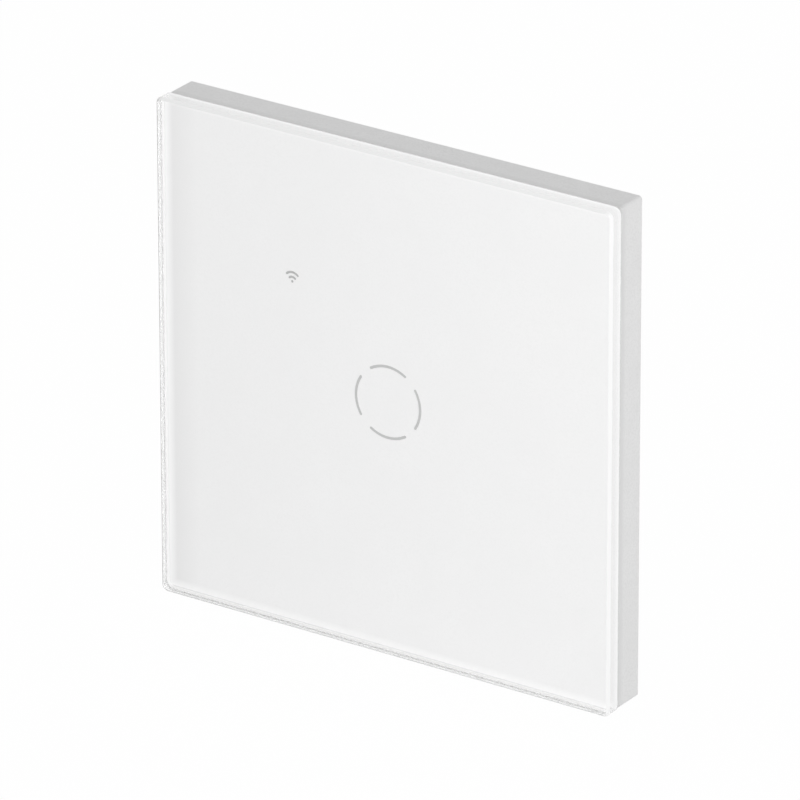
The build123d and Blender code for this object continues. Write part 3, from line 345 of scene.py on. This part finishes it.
def white_ink():
    """The white print, with a painted glow along its border for the light that enters by the edge of
    the glass.

    Painted shade makes its left part a little deeper, and its outermost line too, most of all along
    the bottom.
    """
    made = printed("white_ink", grey(print_level))
    along = made.add("ShaderNodeSeparateXYZ")
    made.feed(along.inputs[0], made.place)
    sides = [made.math("ABSOLUTE", along.outputs[axis]) for axis in ("X", "Z")]
    half = cad_box[1].x
    # Painted shade over the left part of the print
    painted_shade = made.below(along.outputs["X"], full=painted_shade_full - half, end=painted_shade_end - half)
    made.tint(painted_shade, grey(print_painted_shade_level))
    outward = made.math("MAXIMUM", *sides)
    # Painted glow along the border, for the light that enters by the edge of the glass
    glow = made.above(outward, start=half - painted_glow_start, full=half - painted_glow_full)
    made.tint(glow, grey(print_painted_glow_level))
    # Painted shade on the outermost line of the print
    painted_edge_shade = made.above(outward, start=half - painted_edge_shade_start, full=half - painted_edge_shade_full)
    made.tint(painted_edge_shade, grey(print_painted_edge_shade_level))
    # More painted shade on the outermost line along the bottom
    low_painted_shade = made.below(along.outputs["Z"], full=low_painted_shade_full - half, end=low_painted_shade_end - half)
    made.tint(low_painted_shade, grey(print_low_painted_shade_level))
    return made


def clear_plastic():
    """Polished clear acrylic, a little hazy, with faint flow lines."""
    made = Finish("clear_plastic", (0.9, 0.93, 0.95), roughness=0.12)
    made.shader.inputs["Transmission Weight"].default_value = 0.75
    made.shader.inputs["IOR"].default_value = acrylic_index
    flow = made.noise(size=2.5 * mm, detail=2.0, place=made.stretched(stretch=(1.0, 0.3, 1.0)))
    made.relief(flow, depth=0.01 * mm)
    made.worn(low=0.08, high=0.2, size=1.5 * mm)
    return made


def foam_tape():
    """Closed-cell foam: pale grey, with small pores along its cut edges and painted shade inside them.
    """
    made = Finish("foam_tape", (0.55, 0.56, 0.57), roughness=0.85)
    pores = made.cells(size=0.16 * mm)
    # Painted shade inside the pores
    painted_pore_shade = made.spread(pores, low=0.6, high=0.0, from_low=0.1, from_high=0.45)
    made.tint(painted_pore_shade, (0.3, 0.31, 0.32))
    made.relief(pores, depth=0.03 * mm)
    made.mottle(size=3.0 * mm, change=0.06)
    return made


def board_green():
    """Green solder mask over copper traces, with tinned pads and bare fibre along the edges."""
    mask_green = (0.018, 0.16, 0.065)
    weave_green = (0.03, 0.2, 0.09)
    trace_green = (0.05, 0.33, 0.13)
    pad_tin = (0.75, 0.74, 0.7)
    bare_fibre = (0.4, 0.42, 0.24)
    weave_pitch = 0.5 * mm
    trace_pitch = 3.2 * mm
    made = Finish("board_green", mask_green, roughness=0.32)
    warp = made.bands(weave_pitch, direction="X")
    weft = made.bands(weave_pitch, direction="Z")
    weave = made.math("MULTIPLY", warp, weft)
    made.tint(made.math("MULTIPLY", weave, 0.3), weave_green)
    lanes = made.add("ShaderNodeTexBrick")
    made.feed(lanes.inputs["Vector"], made.stretched(stretch=(1.0, 1.0, 1.0), turn=(pi / 2, 0.0, 0.0)))
    lanes.inputs["Scale"].default_value = 1.0 / trace_pitch
    lanes.inputs["Mortar Size"].default_value = 0.07
    lanes.inputs["Mortar Smooth"].default_value = 0.1
    fields = made.above(made.noise(size=7.0 * mm), start=0.47, full=0.5)
    traces = made.math("MULTIPLY", lanes.outputs["Fac"], fields)
    made.tint(made.math("MULTIPLY", traces, 0.75), trace_green)
    made.relief(traces, depth=0.03 * mm)
    dots = made.below(made.cells(size=2.6 * mm), full=0.1, end=0.14)
    pads = made.math("MULTIPLY", dots, made.above(made.noise(size=5.0 * mm), start=0.55, full=0.58))
    made.tint(pads, pad_tin)
    made.feed(made.shader.inputs["Metallic"], made.math("MULTIPLY", pads, 0.9))
    normal = made.add("ShaderNodeSeparateXYZ")
    made.feed(normal.inputs[0], made.add("ShaderNodeNewGeometry").outputs["True Normal"])
    edge = made.below(made.math("ABSOLUTE", normal.outputs["Y"]), full=0.3, end=0.5)
    made.tint(edge, bare_fibre)
    made.worn(low=0.26, high=0.4, size=3.0 * mm)
    return made


def ceramic_parts():
    """Tiny ceramic chips, tan in the middle, with tinned ends showing as brighter patches."""
    made = Finish("ceramic_tan", (0.42, 0.31, 0.2), roughness=0.45)
    patches = made.above(made.noise(size=0.9 * mm, detail=0.0), start=0.52, full=0.56)
    made.tint(patches, (0.62, 0.62, 0.6))
    made.feed(made.shader.inputs["Metallic"], made.math("MULTIPLY", patches, 0.8))
    made.relief(made.noise(size=0.08 * mm), depth=0.004 * mm)
    return made


def wound(name, colour, pitch, direction, roughness, metallic):
    """A close winding: a ridge for each turn of wire, painted shade in the grooves between turns, and
    the varnish a little uneven.
    """
    made = Finish(name, colour, roughness, metallic)
    turns = made.bands(pitch, direction)
    # Painted shade in the grooves between the turns
    painted_groove_shade = made.spread(turns, low=0.55, high=0.0, from_low=0.0, from_high=0.5)
    made.tint(painted_groove_shade, tuple(part * 0.35 for part in colour))
    made.relief(turns, depth=pitch * 0.35)
    made.mottle(size=2.0 * mm, change=0.15)
    return made


def yellow_wrap():
    """Polyester tape round the transformer: glossy yellow, with the lap lines of its layers."""
    made = Finish("yellow_wrap", (0.72, 0.48, 0.035), roughness=0.22)
    laps = made.above(made.bands(pitch=2.1 * mm, direction="Y"), start=0.9, full=1.0)
    made.tint(made.math("MULTIPLY", laps, 0.5), (0.5, 0.3, 0.015))
    made.relief(laps, depth=0.03 * mm)
    made.relief(made.noise(size=1.2 * mm, detail=3.0), depth=0.02 * mm)
    return made


def ferrite():
    """Sintered ferrite: near black, its grains a little lighter in tone and with a painted sparkle."""
    made = Finish("ferrite", (0.05, 0.048, 0.05), roughness=0.5, metallic=0.25)
    grains = made.cells(size=0.12 * mm)
    # Grains lighter in tone, and a painted sparkle standing in for their glints
    grain_tone_and_painted_glint = made.spread(grains, low=0.5, high=0.0, from_low=0.05, from_high=0.3)
    made.tint(grain_tone_and_painted_glint, (0.13, 0.125, 0.125))
    made.relief(grains, depth=0.01 * mm)
    made.mottle(size=1.5 * mm, change=0.2)
    return made


def sleeve():
    """Shrunk sleeve of a round capacitor: dark, glossy, with a pale stripe down one side."""
    made = Finish("capacitor_sleeve", (0.015, 0.02, 0.035), roughness=0.28)
    stripe = made.above(made.bands(pitch=9.0 * mm, direction="X"), start=0.95, full=0.97)
    made.tint(stripe, (0.45, 0.46, 0.48))
    made.relief(made.noise(size=1.5 * mm, detail=2.0), depth=0.02 * mm)
    made.mottle(size=2.5 * mm, change=0.2)
    return made


def dipped(name, colour):
    """A component dipped in epoxy: glossy, with the slow unevenness of a coat that ran."""
    made = Finish(name, colour, roughness=0.3)
    made.relief(made.noise(size=1.8 * mm, detail=1.0), depth=0.08 * mm)
    made.relief(made.noise(size=0.15 * mm, detail=2.0), depth=0.004 * mm)
    made.mottle(size=1.5 * mm, change=0.1)
    return made


def chip_black():
    """Moulded epoxy of a chip: matt black with a fine sand texture."""
    made = Finish("chip_black", (0.02, 0.02, 0.021), roughness=0.6)
    made.relief(made.noise(size=0.07 * mm, detail=3.0), depth=0.008 * mm)
    sand = made.spread(made.noise(size=0.1 * mm), low=0.0, high=0.5, from_low=0.5, from_high=0.8)
    made.tint(sand, (0.05, 0.05, 0.052))
    made.worn(low=0.5, high=0.7, size=1.0 * mm)
    return made


def lamp_white():
    """A small white lamp package with its yellow phosphor showing in soft patches."""
    made = Finish("lamp_white", (0.8, 0.8, 0.76), roughness=0.35)
    blots = made.noise(size=0.8 * mm, detail=0.0)
    phosphor = made.spread(blots, low=0.0, high=0.8, from_low=0.5, from_high=0.56)
    made.tint(phosphor, (0.8, 0.7, 0.2))
    made.relief(made.noise(size=0.15 * mm), depth=0.004 * mm)
    return made


# What makes the finish of each material slot in the record
MAKERS = {
    "clear_glass": lambda: glass(
        "clear_glass", grey(glass_pass), transmission=1.0, roughness=0.0,
        wave_size=30.0 * mm, wave_depth=0.002 * mm,
    ),
    "white_ink": white_ink,
    "grey_ink": lambda: printed("grey_ink", grey(ring_level)),
    "foam_tape": foam_tape,
    "clear_plastic": clear_plastic,
    "white_plastic": white_plastic,
    "housing_plastic": lambda: moulded(
        "housing_plastic", (0.74, 0.74, 0.73), roughness=0.55, grain=0.15 * mm, depth=0.01 * mm
    ),
    "bobbin_plastic": lambda: moulded("bobbin_plastic", (0.7, 0.66, 0.52), roughness=0.4),
    "relay_plastic": lambda: moulded(
        "relay_plastic", (0.02, 0.07, 0.3), roughness=0.35,
        grain=0.2 * mm, depth=0.008 * mm, change=0.1,
    ),
    "terminal_plastic": lambda: moulded(
        "terminal_plastic", (0.05, 0.24, 0.13), roughness=0.4,
        grain=0.2 * mm, depth=0.008 * mm, change=0.1,
    ),
    "connector_black": lambda: moulded(
        "connector_black", (0.025, 0.025, 0.027), roughness=0.45, change=0.2
    ),
    "film_box": lambda: moulded(
        "film_box", (0.62, 0.42, 0.05), roughness=0.35,
        grain=0.25 * mm, depth=0.008 * mm, change=0.08,
    ),
    "fuse_body": lambda: dipped("fuse_body", (0.16, 0.3, 0.12)),
    "varistor_blue": lambda: dipped("varistor_blue", (0.03, 0.12, 0.5)),
    "chip_black": chip_black,
    "lamp_white": lamp_white,
    "board_green": board_green,
    "ceramic_tan": ceramic_parts,
    "capacitor_sleeve": sleeve,
    "ferrite": ferrite,
    "yellow_wrap": yellow_wrap,
    "copper_wire": lambda: wound(
        "copper_wire", (0.78, 0.3, 0.12), pitch=0.16 * mm, direction="Y", roughness=0.3, metallic=0.9
    ),
    "brass_contact": lambda: metal("brass_contact", (0.82, 0.6, 0.26), roughness=0.3),
    "silver_contact": lambda: metal("silver_contact", (0.86, 0.85, 0.82), roughness=0.25),
    "spring_steel": lambda: metal(
        "spring_steel", (0.55, 0.55, 0.56), roughness=0.28, stretch=(1.0, 12.0, 1.0)
    ),
    "tinned_steel": lambda: metal("tinned_steel", (0.74, 0.74, 0.73), roughness=0.35),
    "plated_steel": lambda: metal("plated_steel", (0.66, 0.66, 0.64), roughness=0.3),
    "zinc_steel": lambda: metal(
        "zinc_steel", (0.68, 0.67, 0.62), roughness=0.33, stretch=(4.0, 4.0, 4.0)
    ),
}


def dress():
    """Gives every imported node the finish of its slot. The signal mark has an ink of its own."""
    finishes = {slot: maker().material for slot, maker in MAKERS.items()}
    finishes["signal_ink"] = printed("signal_ink", grey(signal_level)).material
    for part in frame["record"]["subparts"]:
        slot = "signal_ink" if part["node"] == "signal_mark" else part["material_slot"]
        materials = nodes[part["node"]].data.materials
        materials.clear()
        materials.append(finishes[slot])


def grind_edges():
    """Satin sides with slow waves for the glass, and slanted borders ground pale without gloss, with
    painted shade where seen at a grazing angle.
    """
    mesh = nodes["glass_panel"].data
    side = glass(
        "side_glass", grey(side_level), transmission=0.88, roughness=0.25,
        wave_size=20.0 * mm, wave_depth=0.004 * mm,
    )
    ground = glass(
        "ground_glass", grey(ground_level), transmission=0.0, roughness=0.3,
        wave_size=2.0 * mm, wave_depth=0.002 * mm,
    )
    # Painted shade on the ground borders where they are seen at a grazing angle
    painted_grazing_shade = ground.above(ground.flatness(), start=0.5, full=0.75)
    ground.tint(painted_grazing_shade, grey(ground_grazing_painted_shade_level))
    ground.shader.inputs["Specular IOR Level"].default_value = 0.0
    mesh.materials.append(side.material)
    mesh.materials.append(ground.material)
    for face in mesh.polygons:
        lean = abs(face.normal.y)
        face.material_index = 0 if lean > flat_share else 1 if lean < side_share else 2


def seat_ink():
    """Sets the ink a hair into the glass, so that no air shows between them."""
    for name in ("back_ink", "ring_mark", "signal_mark"):
        shift = nodes[name].modifiers.new("into_glass", "DISPLACE")
        shift.direction = "Y"
        shift.mid_level = 0.0
        shift.strength = -ink_seat


def light_world():
    """Soft light from all round. To the eye, in gloss and through glass it is plain white."""
    world = bpy.data.worlds.new("studio")
    bpy.context.scene.world = world
    world.use_nodes = True
    tree = world.node_tree
    sky = tree.nodes["Background"]
    lean = tree.nodes.new("ShaderNodeVectorMath")
    lean.operation = "DOT_PRODUCT"
    lean.inputs[1].default_value = ambient_lean
    tree.links.new(tree.nodes.new("ShaderNodeTexCoord").outputs["Generated"], lean.inputs[0])
    level = tree.nodes.new("ShaderNodeMath")
    level.operation = "ADD"
    level.inputs[1].default_value = ambient_level
    tree.links.new(lean.outputs["Value"], level.inputs[0])
    seen = white_rays(tree)
    strength = tree.nodes.new("ShaderNodeMix")
    strength.data_type = "FLOAT"
    tree.links.new(seen, strength.inputs["Factor"])
    light_level, seen_level = mix_numbers
    tree.links.new(level.outputs[0], strength.inputs[light_level])
    strength.inputs[seen_level].default_value = 1.0
    tree.links.new(strength.outputs[0], sky.inputs["Strength"])
    sky.inputs["Color"].default_value = (1.0, 1.0, 1.0, 1.0)


def white_rays(tree):
    """1 for what the camera sees, also in gloss and through glass, and 0 for light."""
    path = tree.nodes.new("ShaderNodeLightPath")
    first = tree.nodes.new("ShaderNodeMath")
    first.operation = "MAXIMUM"
    tree.links.new(path.outputs["Is Camera Ray"], first.inputs[0])
    tree.links.new(path.outputs["Is Glossy Ray"], first.inputs[1])
    second = tree.nodes.new("ShaderNodeMath")
    second.operation = "MAXIMUM"
    tree.links.new(first.outputs[0], second.inputs[0])
    tree.links.new(path.outputs["Is Transmission Ray"], second.inputs[1])
    return second.outputs[0]


def lay_floor():
    """A plain pale floor just under the switch, which keeps its soft shadow."""
    half = floor_size / 2
    low = cad_box[0].z - floor_gap
    mesh = bpy.data.meshes.new("floor")
    corners = [(-half, -half, low), (half, -half, low), (half, half, low), (-half, half, low)]
    mesh.from_pydata(corners, [], [(0, 1, 2, 3)])
    floor = bpy.data.objects.new("floor", mesh)
    bpy.context.scene.collection.objects.link(floor)
    made = Finish("pale_floor", grey(floor_level), roughness=0.9)
    made.mottle(size=60.0 * mm, change=0.01)
    glow = made.add("ShaderNodeEmission")
    mix = made.add("ShaderNodeMixShader")
    made.feed(mix.inputs[0], made.math("MULTIPLY", white_rays(made.tree), floor_glow_share))
    made.feed(mix.inputs[1], made.shader.outputs[0])
    made.feed(mix.inputs[2], glow.outputs[0])
    made.feed(made.tree.nodes["Material Output"].inputs["Surface"], mix.outputs[0])
    mesh.materials.append(made.material)


def towards(azimuth, elevation):
    """The unit vector from the switch towards this azimuth and elevation in degrees."""
    turn, rise = radians(azimuth), radians(elevation)
    return Vector((sin(turn) * cos(rise), -cos(turn) * cos(rise), sin(rise)))


def hang_lamp(name, azimuth, elevation, distance, size, level):
    """A square soft lamp that lights a white face turned to it to this level."""
    lamp = bpy.data.lights.new(name, "AREA")
    lamp.shape = "SQUARE"
    lamp.size = size
    lamp.energy = level * pi * pi * distance * distance
    item = bpy.data.objects.new(name, lamp)
    bpy.context.scene.collection.objects.link(item)
    direction = towards(azimuth, elevation)
    item.location = direction * distance
    item.rotation_euler = direction.to_track_quat("Z", "Y").to_euler()


def set_camera():
    """The camera of the photo's view."""
    back = towards(view_azimuth, view_elevation)
    level_right = Vector((cos(radians(view_azimuth)), sin(radians(view_azimuth)), 0.0))
    level_up = back.cross(level_right)
    roll = radians(view_roll)
    right = level_right * cos(roll) - level_up * sin(roll)
    up = level_right * sin(roll) + level_up * cos(roll)
    lens = bpy.data.cameras.new("camera")
    lens.sensor_width = sensor_width
    lens.lens = lens_length
    camera = bpy.data.objects.new("camera", lens)
    bpy.context.scene.collection.objects.link(camera)
    turn = Matrix((right, up, back)).transposed()
    place = back * view_distance + right * view_right + up * view_up
    camera.matrix_world = Matrix.Translation(place) @ turn.to_4x4()
    lens.clip_start = clip_start
    lens.clip_end = clip_end
    bpy.context.scene.camera = camera


set_camera()
dress()
grind_edges()
seat_ink()
light_world()
lay_floor()
hang_lamp("key", key_azimuth, key_elevation, key_distance, key_size, key_level)
bpy.context.scene.view_settings.view_transform = "Standard"
